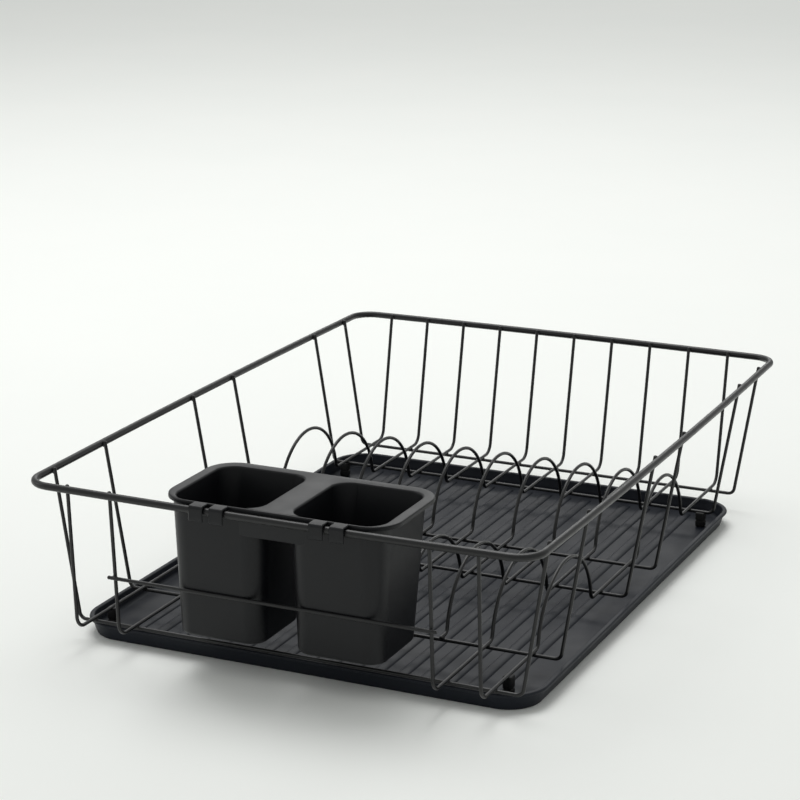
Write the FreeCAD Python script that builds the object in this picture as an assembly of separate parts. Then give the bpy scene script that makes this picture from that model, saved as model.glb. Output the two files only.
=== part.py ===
import FreeCAD, Part
import math
import os

# Dish drying rack: a coated wire basket on four clip feet, standing in a drip tray, with a
# two-cup cutlery holder hooked over the front rim. Millimetres, +Z up. X runs along the
# short front side, Y from front to back. The origin is the bottom centre of the whole box.

# Rim and basket
rim_width = 360.0          # X, between the centrelines of the rim's sides
rim_length = 510.0         # Y, between the centrelines of the rim's front and back
rim_corner_radius = 17.0
rim_bow = 2.8              # how far each side stands out in its middle
rim_diameter = 5.0
wire_diameter = 2.5
basket_depth = 100.5       # from the long wires' centreline up to the rim's centreline
front_lean = 8.5           # how far the floor's front corner stands in from the rim
back_lean = 21.0
side_lean = 18.7
long_bend_radius = 9.0
cross_bend_radius = 5.0
weld_sink = 0.2            # how far two welded wires sink into each other
wire_end_rise = 1.7        # how far a wire's cut end stands above the rim's centreline

# Long wires, front to back, with humps that hold plates
long_wire_count = 10
outer_wire_inset = 34.0    # from the side of the rim to the first long wire
long_wire_shift = -3.5     # how far the set of long wires sits to the right of the middle
plain_front_wires = 2      # leftmost wires with no hump in the front row
hump_radius = 50.0
hump_height = 45.0
hump_foot_radius = 5.0
row_spacing = 196.0        # between the centres of the two hump rows
row_shift = -3.0           # how far the rows sit behind the middle

# Cross wires, side to side
front_row_front_gap = 3.0  # from a hump's foot to the cross wire beside it
front_row_back_gap = 15.0
back_row_front_gap = 11.0
back_row_back_gap = 17.0
front_brace_inset = 31.0   # from the rim to the first cross wire
back_brace_inset = 36.0
short_end_overhang = 2.5   # how far a short wire's end passes its first cross wire

# Opening in the front wall for the holder, with a bar across it
first_open_wire = 2        # index, from the left, of the first wire that stops short
last_open_wire = 7
bar_height = 42.4          # above the long wires' centreline
bar_end_overhang = 3.5

# Drip tray
tray_side_margin = 12.7    # from the rim's centreline in to the tray's edge
tray_front_margin = 30.0
tray_back_margin = 51.0
tray_shift = 1.0           # how far the tray sits to the right of the middle
tray_height = 12.3
tray_floor = 2.5
tray_wall = 2.0
tray_flare = 3.0           # how far the wall leans out over its height
tray_corner_radius = 28.0
lip_width = 1.6
lip_thickness = 2.0
rib_height = 1.2
rib_width = 8.0
rib_pitch = 16.5
rib_foot_gap = 2.0         # from the outermost rib to the feet
rib_end_gap = 8.0          # from the tray's inner wall to the ribs' ends
wire_over_lip = 0.45       # gap between the tray's lip and the cross wires

# Feet: the front ones clip on the outer long wires, the back ones on the fifth cross wire
foot_length = 7.0          # along the wire
foot_width = 6.5
foot_front_inset = 24.0    # from the tray's edge back to the front feet
foot_corner_inset = 9.5    # from the cross wire's lower corner in to the back feet
foot_edge = 1.0
clip_gap = 0.05
seat_gap = 0.3

# Cutlery holder
cup_width = 68.0
cup_gap = 17.0
cup_depth = 94.5           # down from the top of the lip
cup_draft = 3.0            # how much narrower each side is at the bottom
cup_back_draft = 15.0      # how much the back wall leans forward at the bottom
cup_wall = 2.0
cup_floor = 2.5
cup_top_radius = 15.0
cup_bottom_radius = 12.0
holder_length = 86.0       # front to back over the lip
holder_shift = 1.0         # how far the holder sits to the right of the middle
holder_lip = 6.0
holder_lip_thickness = 2.4
holder_band_height = 19.0
holder_rim_gap = 1.2
bar_gap = 1.2              # between the cups' front wall and the bar
hook_width = 10.0
hook_spacing = 14.5        # between the two hooks of one cup
hook_thickness = 1.6
hook_gap = 0.3
hook_drop = 6.0            # from the rim's centreline down to the hook's tip

# Values worked out from the ones above
rim_radius = rim_diameter / 2
wire_radius = wire_diameter / 2
weld_step = wire_diameter - weld_sink
cross_z = tray_height + wire_over_lip + wire_radius
long_z = cross_z + weld_step
rim_z = long_z + basket_depth
top_inset = rim_radius + wire_radius - weld_sink

side_radius = ((rim_length / 2) ** 2 + rim_bow ** 2) / (2 * rim_bow)
end_radius = ((rim_width / 2) ** 2 + rim_bow ** 2) / (2 * rim_bow)
side_centre = rim_width / 2 + rim_bow - side_radius
end_centre = rim_length / 2 + rim_bow - end_radius
corner_x = rim_width / 2 - rim_corner_radius
corner_y = rim_length / 2 - rim_corner_radius
for _ in range(6):   # settles where an arc at the corner touches both of the bowed sides
    corner_x = side_centre + math.sqrt((side_radius - rim_corner_radius) ** 2 - corner_y ** 2)
    corner_y = end_centre + math.sqrt((end_radius - rim_corner_radius) ** 2 - corner_x ** 2)


def rim_side_reach(y):
    """How far the rim's sides stand from its middle, at a distance along them."""
    if abs(y) > corner_y:
        return corner_x + math.sqrt(rim_corner_radius ** 2 - (abs(y) - corner_y) ** 2)
    return side_centre + math.sqrt(side_radius ** 2 - y ** 2)


def rim_end_reach(x):
    """How far the rim's front and back stand from its middle, at a distance along them."""
    if abs(x) > corner_x:
        return corner_y + math.sqrt(rim_corner_radius ** 2 - (abs(x) - corner_x) ** 2)
    return end_centre + math.sqrt(end_radius ** 2 - x ** 2)


# The hooks stand out in front of the rim, so the rack's middle is a little behind the origin
cup_spacing = cup_width + cup_gap
inner_hook_x = cup_spacing / 2 - holder_shift - hook_spacing / 2 - hook_width / 2
hook_front = rim_end_reach(inner_hook_x) + rim_radius + hook_gap + hook_thickness
rack_y = (hook_front - rim_end_reach(0) - rim_radius) / 2

front_y = rack_y - rim_length / 2
back_y = rack_y + rim_length / 2
front_floor_y = front_y + front_lean
back_floor_y = back_y - back_lean
side_floor_x = rim_width / 2 - side_lean

wire_pitch = (rim_width - 2 * outer_wire_inset) / (long_wire_count - 1)
first_wire_x = long_wire_shift + outer_wire_inset - rim_width / 2
long_wire_xs = [first_wire_x + i * wire_pitch for i in range(long_wire_count)]

hump_drop = hump_radius - hump_height
foot_bend_offset = hump_foot_radius + hump_drop
hump_reach = math.sqrt((hump_radius + hump_foot_radius) ** 2 - foot_bend_offset ** 2)
rows_y = rack_y + row_shift
row_ys = [rows_y - row_spacing / 2, rows_y + row_spacing / 2]
cross_wire_ys = [
    front_y + front_brace_inset,
    row_ys[0] - hump_reach - front_row_front_gap,
    row_ys[0] + hump_reach + front_row_back_gap,
    row_ys[1] - hump_reach - back_row_front_gap,
    row_ys[1] + hump_reach + back_row_back_gap,
    back_y - back_brace_inset,
]

tray_front_y = front_y + tray_front_margin
tray_back_y = back_y - tray_back_margin
tray_half_width = rim_width / 2 - tray_side_margin
tray_inner_inset = lip_width + tray_flare * (1 - tray_floor / tray_height) + tray_wall
foot_wire = 4              # index of the cross wire that carries the back feet

os.makedirs("parts", exist_ok=True)


def vec(x, y, z):
    return FreeCAD.Vector(x, y, z)


def save(shape, node):
    shape.exportStep("parts/" + node + ".step")


def tangent_points(before, corner, after, radius):
    """The ends and the middle of an arc that rounds a corner between two straight runs."""
    towards_before = (before - corner).normalize()
    towards_after = (after - corner).normalize()
    half_angle = towards_before.getAngle(towards_after) / 2
    bisector = (towards_before + towards_after).normalize()
    cut_back = radius / math.tan(half_angle)
    start = corner + towards_before * cut_back
    end = corner + towards_after * cut_back
    middle = corner + bisector * (radius / math.sin(half_angle) - radius)
    return start, middle, end


def corner_edges(path, last, corner, after, radius):
    """Adds a straight run and a rounded corner to a path, and returns where it now ends."""
    start, middle, end = tangent_points(last, corner, after, radius)
    path.append(Part.LineSegment(last, start).toShape())
    path.append(Part.Arc(start, middle, end).toShape())
    return end


def hump_edges(path, last, x, row_y):
    """Adds one hump, from floor level up, over and down to floor level again."""
    foot_angle = math.atan2(foot_bend_offset, hump_reach)
    arc_y = hump_radius * math.cos(foot_angle)
    arc_z = hump_radius * math.sin(foot_angle) - hump_drop
    middle_angle = (math.pi / 2 - foot_angle) / 2
    bend_y = hump_reach - hump_foot_radius * math.sin(middle_angle)
    bend_z = hump_foot_radius * (1 - math.cos(middle_angle))
    points = [(-hump_reach, 0), (-bend_y, bend_z), (-arc_y, arc_z), (0, hump_height)]
    points += [(arc_y, arc_z), (bend_y, bend_z), (hump_reach, 0)]
    places = [vec(x, row_y + y, long_z + z) for y, z in points]
    path.append(Part.LineSegment(last, places[0]).toShape())
    for first in (0, 2, 4):
        path.append(Part.Arc(places[first], places[first + 1], places[first + 2]).toShape())
    return places[6]


def swept(path, start, direction, radius):
    """A round wire along a path of edges."""
    circle = Part.Wire([Part.Circle(start, direction, radius).toShape()])
    return Part.Wire(path).makePipeShell([circle], True, False)


def long_wire(index):
    """A wire that lies in one upright plane, bent up over the plates' rows."""
    x = long_wire_xs[index]
    short = first_open_wire <= index <= last_open_wire
    rows = row_ys[1:] if index < plain_front_wires else row_ys
    path = []
    if short:
        start = vec(x, cross_wire_ys[1] - short_end_overhang, long_z)
        direction = vec(0, 1, 0)
        last = start
    else:
        rim_point = vec(x, rack_y - rim_end_reach(x) + top_inset, rim_z)
        corner = vec(x, front_floor_y, long_z)
        slope = (rim_point - corner).normalize()
        start = rim_point + slope * wire_end_rise
        direction = corner - start
        last = corner_edges(path, start, corner, corner + vec(0, 1, 0), long_bend_radius)
    for row_y in rows:
        last = hump_edges(path, last, x, row_y)
    rim_point = vec(x, rack_y + rim_end_reach(x) - top_inset, rim_z)
    corner = vec(x, back_floor_y, long_z)
    slope = (rim_point - corner).normalize()
    end = rim_point + slope * wire_end_rise
    last = corner_edges(path, last, corner, end, long_bend_radius)
    path.append(Part.LineSegment(last, end).toShape())
    return swept(path, start, direction, wire_radius)


def cross_wire(y):
    """A U-shaped wire: down one side, across under the long wires, and up the other side."""
    top_x = rim_side_reach(y - rack_y) - top_inset
    left_corner = vec(-side_floor_x, y, cross_z)
    right_corner = vec(side_floor_x, y, cross_z)
    left_rim = vec(-top_x, y, rim_z)
    right_rim = vec(top_x, y, rim_z)
    start = left_rim + (left_rim - left_corner).normalize() * wire_end_rise
    end = right_rim + (right_rim - right_corner).normalize() * wire_end_rise
    path = []
    last = corner_edges(path, start, left_corner, right_corner, cross_bend_radius)
    last = corner_edges(path, last, right_corner, end, cross_bend_radius)
    path.append(Part.LineSegment(last, end).toShape())
    return swept(path, start, left_corner - start, wire_radius)


def rounded_outline(x0, x1, y0, y1, z, radius):
    """A closed wire: a rectangle with rounded corners."""
    cut = radius * (1 - math.sqrt(0.5))
    edges = []
    runs = [
        (vec(x0 + radius, y0, z), vec(x1 - radius, y0, z), vec(x1 - cut, y0 + cut, z)),
        (vec(x1, y0 + radius, z), vec(x1, y1 - radius, z), vec(x1 - cut, y1 - cut, z)),
        (vec(x1 - radius, y1, z), vec(x0 + radius, y1, z), vec(x0 + cut, y1 - cut, z)),
        (vec(x0, y1 - radius, z), vec(x0, y0 + radius, z), vec(x0 + cut, y0 + cut, z)),
    ]
    for i, (start, end, middle) in enumerate(runs):
        next_start = runs[(i + 1) % 4][0]
        edges.append(Part.LineSegment(start, end).toShape())
        edges.append(Part.Arc(end, middle, next_start).toShape())
    return Part.Wire(edges)


def rim_wire():
    """The rim: four slightly bowed sides, joined by round corners."""
    side_share = side_radius / (side_radius - rim_corner_radius)
    end_share = end_radius / (end_radius - rim_corner_radius)
    side_end = (side_centre + (corner_x - side_centre) * side_share, corner_y * side_share)
    end_end = (corner_x * end_share, end_centre + (corner_y - end_centre) * end_share)
    corner_middle = (corner_x + rim_corner_radius * math.sqrt(0.5), corner_y + rim_corner_radius * math.sqrt(0.5))

    def arc(start, middle, end):
        places = [vec(x, rack_y + y, rim_z) for x, y in (start, middle, end)]
        return Part.Arc(*places).toShape()

    edges = []
    for side in (-1, 1):
        end_y = side * end_end[1]
        edges.append(arc((-end_end[0], end_y), (0, side * rim_end_reach(0)), (end_end[0], end_y)))
        side_x = side * side_end[0]
        edges.append(arc((side_x, -side_end[1]), (side * rim_side_reach(0), 0), (side_x, side_end[1])))
        for end in (-1, 1):
            start, middle, finish = [(side * x, end * y) for x, y in (end_end, corner_middle, side_end)]
            edges.append(arc(start, middle, finish))
    outline = Part.Wire(Part.__sortEdges__(edges))
    first = outline.Edges[0]
    start = first.valueAt(first.FirstParameter)
    direction = first.tangentAt(first.FirstParameter)
    circle = Part.Wire([Part.Circle(start, direction, rim_radius).toShape()])
    return outline.makePipeShell([circle], True, False)


def front_wall_y(z):
    """Where the front wall's wires beside the opening have their centreline at a height."""
    share = (rim_z - z) / basket_depth
    rim_y = rack_y - rim_end_reach(long_wire_xs[last_open_wire + 1]) + top_inset
    return rim_y + share * (front_floor_y - rim_y)


def holder_bar():
    x0 = long_wire_xs[first_open_wire - 1] - bar_end_overhang
    x1 = long_wire_xs[last_open_wire + 1] + bar_end_overhang
    z = long_z + bar_height
    y = front_wall_y(z) - weld_step
    return Part.makeCylinder(wire_radius, x1 - x0, vec(x0, y, z), vec(1, 0, 0))


def foot(x, y, wire_z, along):
    """A moulded foot, with a saddle on top that holds the wire from below."""
    bottom = tray_floor + seat_gap
    height = wire_z - bottom
    across = vec(along.y, along.x, 0)
    half = along * (foot_length / 2) + across * (foot_width / 2)
    block = Part.makeBox(2 * half.x, 2 * half.y, height, vec(x - half.x, y - half.y, bottom))
    upright = [e for e in block.Edges if abs(e.Vertexes[0].Z - e.Vertexes[1].Z) > height / 2]
    block = block.makeFillet(foot_edge, upright)
    groove_start = vec(x, y, wire_z) - along * foot_length
    groove = Part.makeCylinder(wire_radius + clip_gap, 2 * foot_length, groove_start, along)
    return block.cut(groove)


def drip_tray():

    def section(inset, z):
        """The tray's outline at a height, drawn in from the edge of its lip."""
        x0 = tray_shift - tray_half_width + inset
        x1 = tray_shift + tray_half_width - inset
        y0 = tray_front_y + inset
        y1 = tray_back_y - inset
        return rounded_outline(x0, x1, y0, y1, z, tray_corner_radius - inset)

    base = section(lip_width + tray_flare, 0)
    outside = Part.makeLoft([base, section(lip_width, tray_height)], True, True)
    lip = Part.Face(section(0, tray_height - lip_thickness)).extrude(vec(0, 0, lip_thickness))
    above = lip_thickness
    inset_above = lip_width + tray_wall - tray_flare * above / tray_height
    floor_outline = section(tray_inner_inset, tray_floor)
    inside = Part.makeLoft([floor_outline, section(inset_above, tray_height + above)], True, True)
    tray = outside.fuse(lip).cut(inside)

    nearest_foot = min(long_wire_xs[-1] - tray_shift, tray_shift - long_wire_xs[0])
    field_half = nearest_foot - foot_length / 2 - rib_foot_gap - rib_width / 2
    ribs_each_side = int(field_half // rib_pitch)
    rib_start = tray_front_y + tray_inner_inset + rib_end_gap
    rib_length = tray_back_y - tray_inner_inset - rib_end_gap - rib_start
    ribs = []
    for i in range(-ribs_each_side, ribs_each_side + 1):
        rib_x = tray_shift + i * rib_pitch - rib_width / 2
        corner = vec(rib_x, rib_start, tray_floor - rib_height)
        ribs.append(Part.makeBox(rib_width, rib_length, 2 * rib_height, corner))
    return tray.multiFuse(ribs).removeSplitter()


def cutlery_holder():
    lip_top = rim_z + rim_radius + hook_gap + hook_thickness
    half_plate = (cup_spacing + cup_width) / 2 + holder_lip
    wall_front = rack_y - rim_end_reach(half_plate + holder_shift) + rim_radius + holder_rim_gap
    wall_back = wall_front + holder_length - holder_lip
    bottom_z = lip_top - cup_depth
    bar_z = long_z + bar_height
    bar_back = front_wall_y(bar_z) - weld_step + wire_radius
    front_slope = (bar_back + bar_gap - wall_front) / (lip_top - bar_z)

    def cup(centre_x, wall, floor):
        """A tapered block: the outside of a cup, or with a wall and floor, its inside."""
        levels = []
        for z in (bottom_z + floor, lip_top + floor):
            drop = lip_top - z
            share = drop / cup_depth
            half = cup_width / 2 - cup_draft * share - wall
            y0 = wall_front + front_slope * drop + wall
            y1 = wall_back - cup_back_draft * share - wall
            radius = cup_top_radius + (cup_bottom_radius - cup_top_radius) * share - wall
            levels.append(rounded_outline(centre_x - half, centre_x + half, y0, y1, z, radius))
        return Part.makeLoft(levels, True, True)

    centres = [holder_shift - cup_spacing / 2, holder_shift + cup_spacing / 2]
    plate_outline = rounded_outline(
        holder_shift - half_plate,
        holder_shift + half_plate,
        wall_front,
        wall_back + holder_lip,
        lip_top - holder_lip_thickness,
        cup_top_radius + holder_lip,
    )
    holder = Part.Face(plate_outline).extrude(vec(0, 0, holder_lip_thickness))
    band_half = cup_spacing / 2
    front_band = (wall_front, front_slope)
    back_band = (wall_back - cup_wall, -cup_back_draft / cup_depth)
    for band_y, slope in (front_band, back_band):
        shift = slope * holder_band_height
        top_z = lip_top - holder_lip_thickness / 2
        low_z = lip_top - holder_band_height
        profile = [
            vec(holder_shift - band_half, band_y, top_z),
            vec(holder_shift - band_half, band_y + cup_wall, top_z),
            vec(holder_shift - band_half, band_y + shift + cup_wall, low_z),
            vec(holder_shift - band_half, band_y + shift, low_z),
        ]
        face = Part.Face(Part.makePolygon(profile + profile[:1]))
        holder = holder.fuse(face.extrude(vec(2 * band_half, 0, 0)))
    for centre_x in centres:
        holder = holder.fuse(cup(centre_x, 0, 0))
    for centre_x in centres:
        holder = holder.cut(cup(centre_x, cup_wall, cup_floor))

    under_z = lip_top - hook_thickness
    outer_y = rack_y - hook_front
    tip_z = rim_z - hook_drop
    for centre_x in centres:
        for side in (-1, 1):
            x0 = centre_x + side * hook_spacing / 2 - hook_width / 2
            reach = wall_front + cup_wall / 2 - outer_y
            bridge = Part.makeBox(hook_width, reach, hook_thickness, vec(x0, outer_y, under_z))
            leg = Part.makeBox(hook_width, hook_thickness, lip_top - tip_z, vec(x0, outer_y, tip_z))
            holder = holder.fuse(bridge.fuse(leg))
    return holder.removeSplitter()


save(rim_wire(), "rim_wire")
for i in range(long_wire_count):
    save(long_wire(i), "plate_wire_%02d" % (i + 1))
for i, wire_y in enumerate(cross_wire_ys):
    save(cross_wire(wire_y), "cross_wire_%d" % (i + 1))
save(holder_bar(), "holder_bar")
for side_name, side, long_x in (("left", -1, long_wire_xs[0]), ("right", 1, long_wire_xs[-1])):
    front_foot = foot(long_x, tray_front_y + foot_front_inset, long_z, vec(0, 1, 0))
    save(front_foot, "foot_front_" + side_name)
    back_x = side * (side_floor_x - foot_corner_inset)
    back_foot = foot(back_x, cross_wire_ys[foot_wire], cross_z, vec(1, 0, 0))
    save(back_foot, "foot_back_" + side_name)
save(drip_tray(), "drip_tray")
save(cutlery_holder(), "cutlery_holder")
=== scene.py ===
import bmesh
import bpy
import math
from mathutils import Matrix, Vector


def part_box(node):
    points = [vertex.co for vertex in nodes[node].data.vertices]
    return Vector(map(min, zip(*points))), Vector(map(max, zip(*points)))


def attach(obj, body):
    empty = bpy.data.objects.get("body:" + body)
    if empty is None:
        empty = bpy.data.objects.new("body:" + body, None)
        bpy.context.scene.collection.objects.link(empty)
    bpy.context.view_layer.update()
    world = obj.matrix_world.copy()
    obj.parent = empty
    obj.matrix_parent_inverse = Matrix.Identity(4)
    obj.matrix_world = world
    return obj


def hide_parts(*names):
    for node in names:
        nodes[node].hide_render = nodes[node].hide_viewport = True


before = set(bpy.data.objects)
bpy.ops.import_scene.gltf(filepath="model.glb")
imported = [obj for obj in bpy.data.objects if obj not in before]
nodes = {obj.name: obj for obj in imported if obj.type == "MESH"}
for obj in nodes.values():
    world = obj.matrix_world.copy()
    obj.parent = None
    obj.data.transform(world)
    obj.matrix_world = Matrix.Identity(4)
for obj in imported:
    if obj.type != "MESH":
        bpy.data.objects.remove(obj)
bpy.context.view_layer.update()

mm = 0.001


def linearColor(hexText):
    # sRGB hex to the linear values that the shaders take
    channels = []
    for i in (0, 2, 4):
        c = int(hexText[i:i + 2], 16) / 255
        channels.append(c / 12.92 if c <= 0.04045 else ((c + 0.055) / 1.055) ** 2.4)
    return (channels[0], channels[1], channels[2], 1.0)


def addNode(tree, kind, settings=None, inputs=None):
    # inputs holds plain values, or output sockets to link from
    node = tree.nodes.new(kind)
    for key, value in (settings or {}).items():
        setattr(node, key, value)
    for key, value in (inputs or {}).items():
        if isinstance(value, bpy.types.NodeSocket):
            tree.links.new(value, node.inputs[key])
        else:
            node.inputs[key].default_value = value
    return node


def perMetre(sizeMm):
    # a texture's scale for features of this size
    return 1.0 / (sizeMm * mm)


def makePlasticMaterial(name, look):
    # moulded or dipped plastic: the colour drifts slightly, the gloss is uneven and the skin has a fine texture
    # real mould grain is about 0.1 mm, too fine for this view, so grainMm draws it several times coarser
    material = bpy.data.materials.new(name)
    material.use_nodes = True
    tree = material.node_tree
    tree.nodes.clear()
    place = addNode(tree, "ShaderNodeTexCoord").outputs["Object"]
    clouds = addNode(tree, "ShaderNodeTexNoise", None, {
        "Vector": place, "Scale": perMetre(look["cloudMm"]), "Detail": 3.0, "Roughness": 0.55})
    grain = addNode(tree, "ShaderNodeTexNoise", None, {
        "Vector": place, "Scale": perMetre(look["grainMm"]), "Detail": 2.0, "Roughness": 0.5})
    tint = addNode(tree, "ShaderNodeMix", {"data_type": "RGBA"}, {
        0: clouds.outputs["Fac"], 6: linearColor(look["dark"]), 7: linearColor(look["light"])})
    gloss = addNode(tree, "ShaderNodeMapRange", None, {
        "Value": clouds.outputs["Fac"], "From Min": 0.3, "From Max": 0.7,
        "To Min": look["roughness"] - look["glossDrift"], "To Max": look["roughness"] + look["glossDrift"]})
    swell = addNode(tree, "ShaderNodeBump", None, {
        "Strength": look["swell"], "Distance": look["swellMm"] * mm, "Height": clouds.outputs["Fac"]})
    skin = addNode(tree, "ShaderNodeBump", None, {
        "Strength": look["texture"], "Distance": look["textureMm"] * mm, "Height": grain.outputs["Fac"],
        "Normal": swell.outputs["Normal"]})
    shader = addNode(tree, "ShaderNodeBsdfPrincipled", None, {
        "Base Color": tint.outputs[2], "Roughness": gloss.outputs["Result"], "Normal": skin.outputs["Normal"],
        "IOR": look["ior"], "Specular IOR Level": look["specular"],
        "Coat Weight": look["coat"], "Coat Roughness": look["coatRoughness"]})
    addNode(tree, "ShaderNodeOutputMaterial", None, {"Surface": shader.outputs["BSDF"]})
    return material


def roundedRing(x0, x1, y0, y1, z, radii, steps):
    # a closed outline in millimetres, with radii for front right, back right, back left and front left
    corners = ((x1, y0, -90), (x1, y1, 0), (x0, y1, 90), (x0, y0, 180))
    points = []
    for (cx, cy, start), radius in zip(corners, radii):
        inX = cx - math.copysign(radius, cx - (x0 + x1) / 2)
        inY = cy - math.copysign(radius, cy - (y0 + y1) / 2)
        for i in range(steps + 1):
            angle = math.radians(start + 90 * i / steps)
            points.append((inX + radius * math.cos(angle), inY + radius * math.sin(angle), z))
    return points


def skinRings(rings, closeFirst=True, closeLast=True, skip=None):
    # faces between rings that hold the same number of points, each ring inside or above the last
    count = len(rings[0])
    points = [p for ring in rings for p in ring]
    faces = []
    for r in range(len(rings) - 1):
        for i in range(count):
            j = (i + 1) % count
            if skip and skip(rings[r][i], rings[r][j], rings[r + 1][i], rings[r + 1][j]):
                continue
            faces.append((r * count + i, r * count + j, (r + 1) * count + j, (r + 1) * count + i))
    if closeFirst:
        faces.append(tuple(reversed(range(count))))
    if closeLast:
        faces.append(tuple(range((len(rings) - 1) * count, len(rings) * count)))
    return points, faces


def joinShells(shells):
    points, faces = [], []
    for shellPoints, shellFaces in shells:
        base = len(points)
        points.extend(shellPoints)
        faces.extend(tuple(base + i for i in face) for face in shellFaces)
    return points, faces


def makePiece(name, shell, material, body, smoothAngle=35):
    # shell is points in millimetres and faces
    points, faces = shell
    mesh = bpy.data.meshes.new(name)
    mesh.from_pydata([(x * mm, y * mm, z * mm) for x, y, z in points], [], faces)
    mesh.materials.append(material)
    piece = bpy.data.objects.new(name, mesh)
    bpy.context.scene.collection.objects.link(piece)
    mesh.validate()
    mesh.shade_smooth()
    mesh.set_sharp_from_angle(angle=math.radians(smoothAngle))
    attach(piece, body)
    return piece


def boxMm(node):
    low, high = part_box(node)
    return [c / mm for c in low], [c / mm for c in high]


# PVC-dipped steel wire: a soft black skin, smooth enough for long highlights, thicker at the welds
wireMaterial = makePlasticMaterial("Black_PVC_Dipped_Steel_Wire", {
    "dark": "0A0A0B", "light": "121214", "roughness": 0.36, "glossDrift": 0.05, "ior": 1.53,
    "specular": 0.4, "coat": 0.05, "coatRoughness": 0.25, "cloudMm": 9.0, "grainMm": 0.8,
    "swell": 0.25, "swellMm": 0.15, "texture": 0.12, "textureMm": 0.04})

# injection-moulded polypropylene: charcoal, satin, with a faint cool cast and a spark-eroded texture
trayMaterial = makePlasticMaterial("Charcoal_Moulded_Polypropylene", {
    "dark": "0E1219", "light": "131822", "roughness": 0.5, "glossDrift": 0.05, "ior": 1.49,
    "specular": 0.26, "coat": 0.0, "coatRoughness": 0.3, "cloudMm": 40.0, "grainMm": 0.9,
    "swell": 0.15, "swellMm": 0.3, "texture": 0.2, "textureMm": 0.05})

# moulded ABS: darker than the tray and a little glossier, with a smooth mould finish
holderMaterial = makePlasticMaterial("Black_Moulded_ABS", {
    "dark": "0A0B0E", "light": "0F1014", "roughness": 0.4, "glossDrift": 0.04, "ior": 1.54,
    "specular": 0.28, "coat": 0.0, "coatRoughness": 0.3, "cloudMm": 25.0, "grainMm": 0.7,
    "swell": 0.12, "swellMm": 0.2, "texture": 0.12, "textureMm": 0.04})

# moulded soft rubber: matt black, slightly dusty
footMaterial = makePlasticMaterial("Black_Moulded_Rubber", {
    "dark": "080808", "light": "0D0D0E", "roughness": 0.62, "glossDrift": 0.06, "ior": 1.52,
    "specular": 0.4, "coat": 0.0, "coatRoughness": 0.3, "cloudMm": 6.0, "grainMm": 0.6,
    "swell": 0.2, "swellMm": 0.1, "texture": 0.3, "textureMm": 0.06})
print("materials made")


wireShape = {
    "radius": 1.25, "weldBulge": 1.75, "weldHeight": 1.5, "rimWeldBulge": 2.1, "rimWeldHeight": 2.4,
    "endDome": 1.33, "endDrop": 0.75}

longNames = ["plate_wire_%02d" % (i + 1) for i in range(10)]
crossNames = ["cross_wire_%d" % (i + 1) for i in range(6)]
for name in ["rim_wire", "holder_bar"] + longNames + crossNames:
    nodes[name].data.materials.clear()
    nodes[name].data.materials.append(wireMaterial)


def ballShell(centre, radii, rings=8, sides=12):
    # an egg-shaped blob, closed at both poles
    points = [(centre[0], centre[1], centre[2] - radii[2])]
    for r in range(1, rings):
        tilt = math.pi * r / rings
        for s in range(sides):
            turn = 2 * math.pi * s / sides
            points.append((
                centre[0] + radii[0] * math.sin(tilt) * math.cos(turn),
                centre[1] + radii[1] * math.sin(tilt) * math.sin(turn),
                centre[2] - radii[2] * math.cos(tilt)))
    points.append((centre[0], centre[1], centre[2] + radii[2]))
    faces = []
    last = len(points) - 1
    for s in range(sides):
        t = (s + 1) % sides
        faces.append((0, 1 + t, 1 + s))
        faces.append((last, last - sides + s, last - sides + t))
        for r in range(rings - 2):
            a = 1 + r * sides
            faces.append((a + s, a + t, a + sides + t, a + sides + s))
    return points, faces


rimLow, rimHigh = boxMm("rim_wire")
rimZ = (rimLow[2] + rimHigh[2]) / 2
barLow, barHigh = boxMm("holder_bar")
barY = (barLow[1] + barHigh[1]) / 2
barZ = (barLow[2] + barHigh[2]) / 2
longBoxes = [boxMm(name) for name in longNames]
crossBoxes = [boxMm(name) for name in crossNames]
longXs = [(low[0] + high[0]) / 2 for low, high in longBoxes]
crossYs = [(low[1] + high[1]) / 2 for low, high in crossBoxes]
wireRadius = wireShape["radius"]
longZ = longBoxes[0][0][2] + wireRadius
crossZ = crossBoxes[0][0][2] + wireRadius
bulge, bulgeHeight, dome = wireShape["weldBulge"], wireShape["weldHeight"], wireShape["endDome"]
rimBulge, rimBulgeHeight = wireShape["rimWeldBulge"], wireShape["rimWeldHeight"]

welds = []
for (low, high), x in zip(longBoxes, longXs):
    # where long and cross wires meet on the floor, and at the long wires' ends on the rim
    for y in crossYs:
        if low[1] < y < high[1]:
            welds.append(ballShell((x, y, (longZ + crossZ) / 2), (bulge, bulge, bulgeHeight)))
    ends = [(high[1] - wireRadius, 1)]
    if low[1] < rimLow[1] + 20:
        ends.append((low[1] + wireRadius, -1))
    else:
        welds.append(ballShell((x, low[1], longZ), (dome, dome * 0.8, dome)))   # the short wires' cut ends
    for y, out in ends:
        welds.append(ballShell((x, y + out * 0.6, rimZ), (wireRadius * 1.25, rimBulge, rimBulgeHeight)))
        welds.append(ballShell((x, y, high[2] - wireShape["endDrop"]), (dome, dome, dome)))
for (low, high), y in zip(crossBoxes, crossYs):
    for x, out in ((low[0] + wireRadius, -1), (high[0] - wireRadius, 1)):
        welds.append(ballShell((x + out * 0.6, y, rimZ), (rimBulge, wireRadius * 1.25, rimBulgeHeight)))
        welds.append(ballShell((x, y, high[2] - wireShape["endDrop"]), (dome, dome, dome)))
for x in (longXs[1], longXs[8]):
    welds.append(ballShell((x, barY + wireRadius, barZ), (bulge, bulgeHeight, bulge)))
for x in (barLow[0], barHigh[0]):
    welds.append(ballShell((x, barY, barZ), (dome * 0.8, dome, dome)))
makePiece("weld_beads", joinShells(welds), wireMaterial, "basket", 180)
print("wires and welds made:", len(welds))


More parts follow.
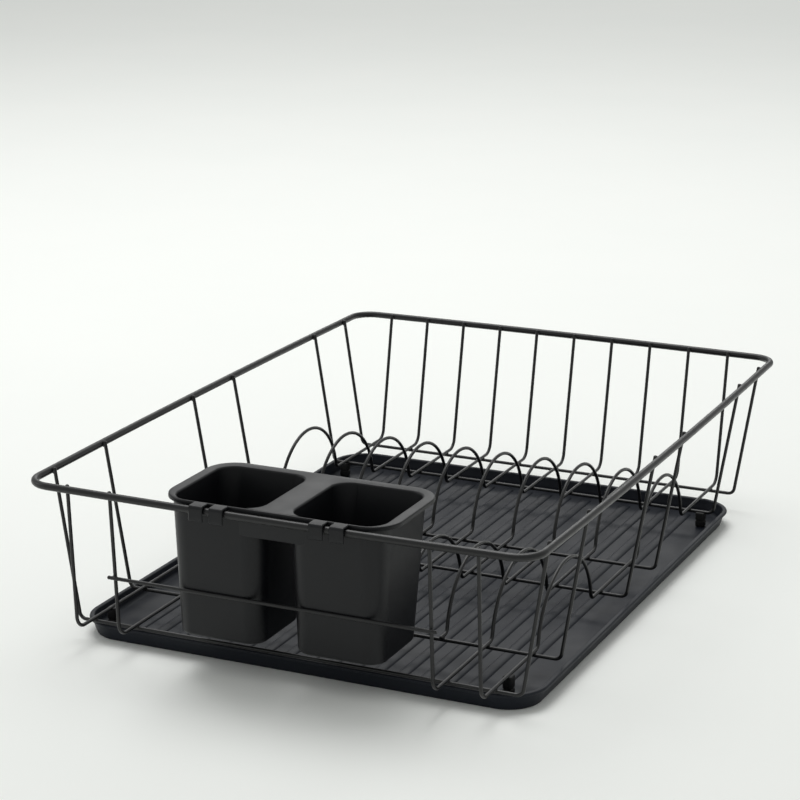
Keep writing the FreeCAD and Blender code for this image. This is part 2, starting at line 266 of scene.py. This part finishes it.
trayShape = {
    "cornerRadius": 28.0, "height": 12.3, "flare": 3.0, "lip": 1.6, "wall": 2.0, "lipDrop": 2.0, "floor": 2.5,
    "ribWidth": 8.4, "ribHeight": 1.25, "ribPitch": 16.5, "ribsEachSide": 8, "ribEndGap": 14.0,
    "cornerSteps": 14}

trayLow, trayHigh = boxMm("drip_tray")


def trayRing(inset, z):
    radius = trayShape["cornerRadius"] - inset
    return roundedRing(
        trayLow[0] + inset, trayHigh[0] - inset, trayLow[1] + inset, trayHigh[1] - inset,
        z, [radius] * 4, trayShape["cornerSteps"])


def trayWallInset(z):
    return trayShape["lip"] + trayShape["flare"] * (1 - z / trayShape["height"])


def roundTurn(centre, radii, startAngle, endAngle, steps):
    # points of a rounded edge in a profile: how far in from the edge, and height
    turn = []
    for i in range(steps + 1):
        angle = math.radians(startAngle + (endAngle - startAngle) * i / steps)
        turn.append((centre[0] + radii[0] * math.cos(angle), centre[1] + radii[1] * math.sin(angle)))
    return turn


top = trayShape["height"]
underLip = top - trayShape["lipDrop"]
profile = [(20.0, 0.6), (14.0, 0.6), (13.0, 0.0)]   # the middle of the underside is raised inside a foot ring
profile += roundTurn((trayWallInset(0) + 1.6, 1.6), (1.6, 1.6), 270, 190, 5)
profile += [(trayWallInset(4), 4.0), (trayWallInset(8), 8.0), (trayWallInset(underLip) + 0.1, underLip - 0.3)]
profile += [(trayWallInset(underLip) - 0.3, underLip)]
profile += roundTurn((0.5, underLip + 0.5), (0.5, 0.5), 270, 180, 3)
profile += roundTurn((1.1, top - 1.1), (1.1, 1.1), 180, 90, 5)
profile += roundTurn((2.5, top - 1.1), (1.1, 1.1), 90, 0, 5)
profile += [(trayWallInset(z) + trayShape["wall"], z) for z in (8.6, 6.0)]
profile += roundTurn((8.2, trayShape["floor"] + 2.6), (2.9, 2.6), 172, 270, 7)
profile += [(10.5, trayShape["floor"])]
trayShell = skinRings([trayRing(inset, z) for inset, z in profile])


def ribShell(x, y0, y1):
    # a low rounded rib with its ends drawn down to the floor
    rows = []
    for share in (0.0, 0.25, 0.6, 1.0):
        rows.append((y0 + share * 4.0, math.sqrt(1 - (1 - share) ** 2)))
    rows += [(y0 + y1 - y, size) for y, size in reversed(rows)]
    foot = trayShape["floor"] - 0.15
    ribRings = []
    for y, size in rows:
        half = trayShape["ribWidth"] / 2 * (0.55 + 0.45 * size)
        height = max(trayShape["ribHeight"] * size, 0.02) + 0.15
        ring = []
        for i in range(9):
            angle = math.pi * i / 8
            ring.append((x + half * math.cos(angle), y, foot + height * math.sin(angle)))
        ring.append((x, y, foot - 0.35))
        ribRings.append(ring)
    return skinRings(ribRings)


trayMiddle = (trayLow[0] + trayHigh[0]) / 2
ribFront = trayLow[1] + trayShape["ribEndGap"]
ribBack = trayHigh[1] - trayShape["ribEndGap"]
ribs = []
for i in range(-trayShape["ribsEachSide"], trayShape["ribsEachSide"] + 1):
    ribs.append(ribShell(trayMiddle + i * trayShape["ribPitch"], ribFront, ribBack))
trayPiece = makePiece(
    "drip_tray_moulding", joinShells([trayShell] + ribs), trayMaterial, "tray", 40)
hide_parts("drip_tray")
print("drip tray made")


holderShape = {
    "cupWidth": 68.0, "cupGap": 17.0, "lip": 6.0, "lipThickness": 1.8, "wall": 2.0, "bottom": 2.5, "draft": 3.0,
    "backDraft": 15.0, "frontDraft": 4.2, "topRadius": 15.0, "bottomRadius": 12.0, "bottomFillet": 3.0,
    "length": 86.0, "frontLip": 0.4, "bandHeight": 19.0, "hookWidth": 10.0, "hookSpacing": 14.5,
    "hookThickness": 1.6, "hookTurn": 2.4, "hookEdge": 0.45, "hookDrop": 6.0, "cornerSteps": 12}

holderLow, holderHigh = boxMm("cutlery_holder")
lipTop = holderHigh[2]
cupBottom = holderLow[2]
cupDepth = lipTop - cupBottom
wallBack = holderHigh[1] - holderShape["lip"]
wallFront = holderHigh[1] - holderShape["length"]
seamX = (holderLow[0] + holderHigh[0]) / 2   # the right cup mirrors the left one here
cupCentre = seamX - (holderShape["cupWidth"] + holderShape["cupGap"]) / 2


def cupRing(z, inset):
    # an outline of the left cup at a height, drawn in from its outer face, and out only at the sides and back
    share = (lipTop - z) / cupDepth
    half = holderShape["cupWidth"] / 2 - holderShape["draft"] * share - inset
    y0 = wallFront + holderShape["frontDraft"] * share + max(inset, 0)
    y1 = wallBack - holderShape["backDraft"] * share - inset
    radius = holderShape["topRadius"] * (1 - share) + holderShape["bottomRadius"] * share - inset
    radii = [max(radius, 0.5)] * 4
    return roundedRing(cupCentre - half, cupCentre + half, y0, y1, z, radii, holderShape["cornerSteps"])


def lipRing(z, inset):
    # half of the lip around both cups: round at the outer corners, square at the seam between the cups
    outerRadius = holderShape["topRadius"] + holderShape["lip"] - inset
    return roundedRing(
        holderLow[0] + inset, seamX, wallFront - holderShape["frontLip"] + inset, holderHigh[1] - inset, z,
        [0.0, 0.0, outerRadius, outerRadius], holderShape["cornerSteps"])


def onSeam(*points):
    return all(abs(p[0] - seamX) < 1e-6 for p in points)


underside = lipTop - holderShape["lipThickness"]
fillet = holderShape["bottomFillet"]
rings = []
for inset, z in ((14.0, 0.8), (fillet + 2.0, 0.8), (fillet + 1.0, 0.0), (fillet, 0.0)):
    rings.append(cupRing(cupBottom + z, inset))
for inset, z in roundTurn((fillet, fillet), (fillet, fillet), 260, 180, 5):
    rings.append(cupRing(cupBottom + z, inset))
for share in (0.35, 0.7):
    rings.append(cupRing(cupBottom + fillet + (underside - cupBottom - fillet) * share, 0.0))
rings.append(cupRing(underside - 1.5, 0.0))
rings.append(cupRing(underside - 0.4, -0.25))
rings.append(cupRing(underside, -0.9))
rings.append(lipRing(underside, 1.4))
rings.append(lipRing(underside - 1.0, 1.2))
rings.append(lipRing(underside - 1.2, 0.5))
rings.append(lipRing(underside - 0.9, 0.0))
for inset, z in roundTurn((0.9, lipTop - 0.9), (0.9, 0.9), 180, 90, 4):
    rings.append(lipRing(z, inset))
rings.append(lipRing(lipTop, 2.0))
rings.append(cupRing(lipTop, 0.6))
for inset, z in roundTurn((0.6, lipTop - 1.4), (1.4, 1.4), 60, 0, 4):
    rings.append(cupRing(z, inset))
inner = holderShape["wall"]
for share in (0.3, 0.65):
    rings.append(cupRing(lipTop - cupDepth * share, inner))
for inset, z in roundTurn((inner + fillet, holderShape["bottom"] + fillet), (fillet, fillet), 180, 270, 5):
    rings.append(cupRing(cupBottom + z, inset))


def mirrored(shell):
    # the same shell on the other side of the seam
    points, faces = shell
    return [(2 * seamX - x, y, z) for x, y, z in points], [tuple(reversed(face)) for face in faces]


def bandShell(y, z, slope):
    # the short wall that closes the recess between the cups, with a rounded lower edge
    half = holderShape["cupGap"] / 2 + holderShape["topRadius"]
    low = lipTop - holderShape["bandHeight"] + 0.8
    outline = [(0.0, z)]
    for i in range(5):
        angle = math.radians(180 + 180 * i / 4)
        outline.append((holderShape["wall"] / 2 * (1 + math.cos(angle)), low + 0.8 * math.sin(angle)))
    outline.append((holderShape["wall"], z))
    ends = []
    for x in (seamX - half, seamX - half + 0.5, seamX + half - 0.5, seamX + half):
        ends.append([(x, y + slope * (lipTop - pz) + py, pz) for py, pz in outline])
    return skinRings(ends)


def hookShell(x):
    # a moulded strap over the rim: out from the lip, round the wire and down to a rounded tip
    y0 = holderLow[1]
    thick, turn, edge = holderShape["hookThickness"], holderShape["hookTurn"], holderShape["hookEdge"]
    tipZ = rimZ - holderShape["hookDrop"]
    half = holderShape["hookWidth"] / 2
    path = []   # outer and inner points side by side, as (outer y, outer z, inner y, inner z)
    for y in (wallFront + 1.0, y0 + turn):
        path.append((y, lipTop, y, lipTop - thick))
    for i in range(1, 7):
        angle = math.radians(90 + 90 * i / 6)
        c, s = math.cos(angle), math.sin(angle)
        path.append((y0 + turn + turn * c, lipTop - turn + turn * s,
                     y0 + turn + (turn - thick) * c, lipTop - turn + (turn - thick) * s))
    for z in (tipZ + 3.0, tipZ + 0.8):
        path.append((y0, z, y0 + thick, z))
    path.append((y0 + 0.25, tipZ + 0.2, y0 + thick - 0.25, tipZ + 0.2))
    near, far = edge / thick, 1 - edge / thick
    section = (
        (0, half - edge), (near, half), (far, half), (1, half - edge),
        (1, edge - half), (far, -half), (near, -half), (0, edge - half))   # eight sides, so the edges are soft
    hookRings = []
    for outerY, outerZ, innerY, innerZ in path:
        hookRings.append([
            (x + side, outerY + (innerY - outerY) * share, outerZ + (innerZ - outerZ) * share)
            for share, side in section])
    middleY = y0 + thick / 2
    hookRings.append([
        (x + (px - x) * 0.9, middleY + (py - middleY) * 0.5, tipZ) for px, py, pz in hookRings[-1]])
    return skinRings(hookRings)


halfHolder = skinRings(rings, skip=onSeam)
bandTop = lipTop - 1.0
frontSlope = holderShape["frontDraft"] / cupDepth
backSlope = -holderShape["backDraft"] / cupDepth
shells = [halfHolder, mirrored(halfHolder)]
shells.append(bandShell(wallFront + 0.02, bandTop, frontSlope))
shells.append(bandShell(wallBack - holderShape["wall"] - 0.02, bandTop, backSlope))
for centre in (cupCentre, 2 * seamX - cupCentre):
    for side in (-1, 1):
        shells.append(hookShell(centre + side * holderShape["hookSpacing"] / 2))
holderPiece = makePiece(
    "cutlery_holder_moulding", joinShells(shells), holderMaterial, "holder", 38)
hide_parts("cutlery_holder")
weldMesh = bmesh.new()
weldMesh.from_mesh(holderPiece.data)
bmesh.ops.remove_doubles(weldMesh, verts=weldMesh.verts, dist=0.002 * mm)
bmesh.ops.dissolve_degenerate(weldMesh, edges=weldMesh.edges, dist=0.001 * mm)
weldMesh.to_mesh(holderPiece.data)
weldMesh.free()
print("cutlery holder made")


footShape = {"edge": 0.9, "cornerRadius": 1.2, "cornerSteps": 5, "grooveDepth": 0.5}

for name in ("foot_front_left", "foot_front_right", "foot_back_left", "foot_back_right"):
    low, high = boxMm(name)
    steps = footShape["cornerSteps"]
    edge = footShape["edge"]
    topZ = high[2] - 0.02

    def footRing(inset, z):
        radii = [max(footShape["cornerRadius"] - inset * 0.5, 0.3)] * 4
        return roundedRing(
            low[0] + inset, high[0] - inset, low[1] + inset, high[1] - inset, z, radii, steps)

    footRings = [footRing(1.6, low[2]), footRing(edge, low[2])]
    for inset, z in roundTurn((edge, edge), (edge, edge), 250, 180, 3):
        footRings.append(footRing(inset, low[2] + z))
    grooves = ((4.2, 0.0), (4.5, footShape["grooveDepth"]), (5.3, footShape["grooveDepth"]), (5.6, 0.0))
    for z, inset in grooves:
        footRings.append(footRing(inset, low[2] + z))
    for inset, z in roundTurn((edge, topZ - edge), (edge, edge), 180, 100, 4):
        footRings.append(footRing(inset, z))
    footRings.append(footRing(1.8, topZ))
    footPiece = makePiece(name + "_block", skinRings(footRings), footMaterial, "basket", 40)
    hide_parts(name)
print("feet made")


studio = {
    "floorMm": 24000.0, "floorSwell": 260.0, "keyWatts": 42.0, "leftWatts": 3.0, "backWatts": 60.0,
    "world": "F2F4F2", "worldStrength": 0.56}

floorShell = skinRings([[
    (-studio["floorMm"] / 2, -studio["floorMm"] / 2, 0.0), (studio["floorMm"] / 2, -studio["floorMm"] / 2, 0.0),
    (studio["floorMm"] / 2, studio["floorMm"] / 2, 0.0), (-studio["floorMm"] / 2, studio["floorMm"] / 2, 0.0)]],
    closeFirst=False)
floorMesh = bpy.data.meshes.new("studio_floor")
floorMesh.from_pydata([(x * mm, y * mm, z * mm) for x, y, z in floorShell[0]], [], floorShell[1])
floor = bpy.data.objects.new("studio_floor", floorMesh)
bpy.context.scene.collection.objects.link(floor)

# painted board: off-white and matt, with only a trace of unevenness
floorMaterial = makePlasticMaterial("Matt_White_Painted_Board", {
    "dark": "F4F6F3", "light": "F8F9F6", "roughness": 0.85, "glossDrift": 0.03, "ior": 1.5,
    "specular": 0.2, "coat": 0.0, "coatRoughness": 0.3, "cloudMm": studio["floorSwell"], "grainMm": 1.5,
    "swell": 0.02, "swellMm": 0.2, "texture": 0.02, "textureMm": 0.02})
floorMesh.materials.append(floorMaterial)

bpy.context.scene.view_settings.view_transform = "Standard"   # keeps the pale sweep near white
world = bpy.data.worlds.new("pale_room")
bpy.context.scene.world = world
world.use_nodes = True
worldTree = world.node_tree
worldTree.nodes.clear()
sky = addNode(worldTree, "ShaderNodeBackground", None, {
    "Color": linearColor(studio["world"]), "Strength": studio["worldStrength"]})
addNode(worldTree, "ShaderNodeOutputWorld", None, {"Surface": sky.outputs["Background"]})


def softBox(name, watts, size, place, aim):
    lamp = bpy.data.lights.new(name, "AREA")
    lamp.shape = "RECTANGLE"
    lamp.size, lamp.size_y = size
    lamp.energy = watts
    box = bpy.data.objects.new(name, lamp)
    box.location = place
    box.rotation_euler = (Vector(aim) - Vector(place)).to_track_quat("-Z", "Y").to_euler()
    bpy.context.scene.collection.objects.link(box)
    return box


middle = (0.0, 0.0, 0.05)
softBox("key_softbox", studio["keyWatts"], (1.9, 1.9), (-0.7, 0.9, 2.6), middle)
softBox("left_softbox", studio["leftWatts"], (1.0, 0.8), (-1.8, -0.7, 0.9), middle)
softBox("back_softbox", studio["backWatts"], (4.0, 1.5), (-2.6, 7.0, 2.8), (-2.6, 6.4, 0.0))   # far floor
print("studio made")


camera = bpy.data.cameras.new("camera")
camera.lens = 107.9
camera.sensor_width = 36.0
cameraObject = bpy.data.objects.new("camera", camera)
cameraObject.location = (0.6715, -1.5156, 0.6051)
cameraObject.rotation_euler = (math.radians(73.968), math.radians(0.02), math.radians(24.694))
bpy.context.scene.collection.objects.link(cameraObject)
bpy.context.scene.camera = cameraObject
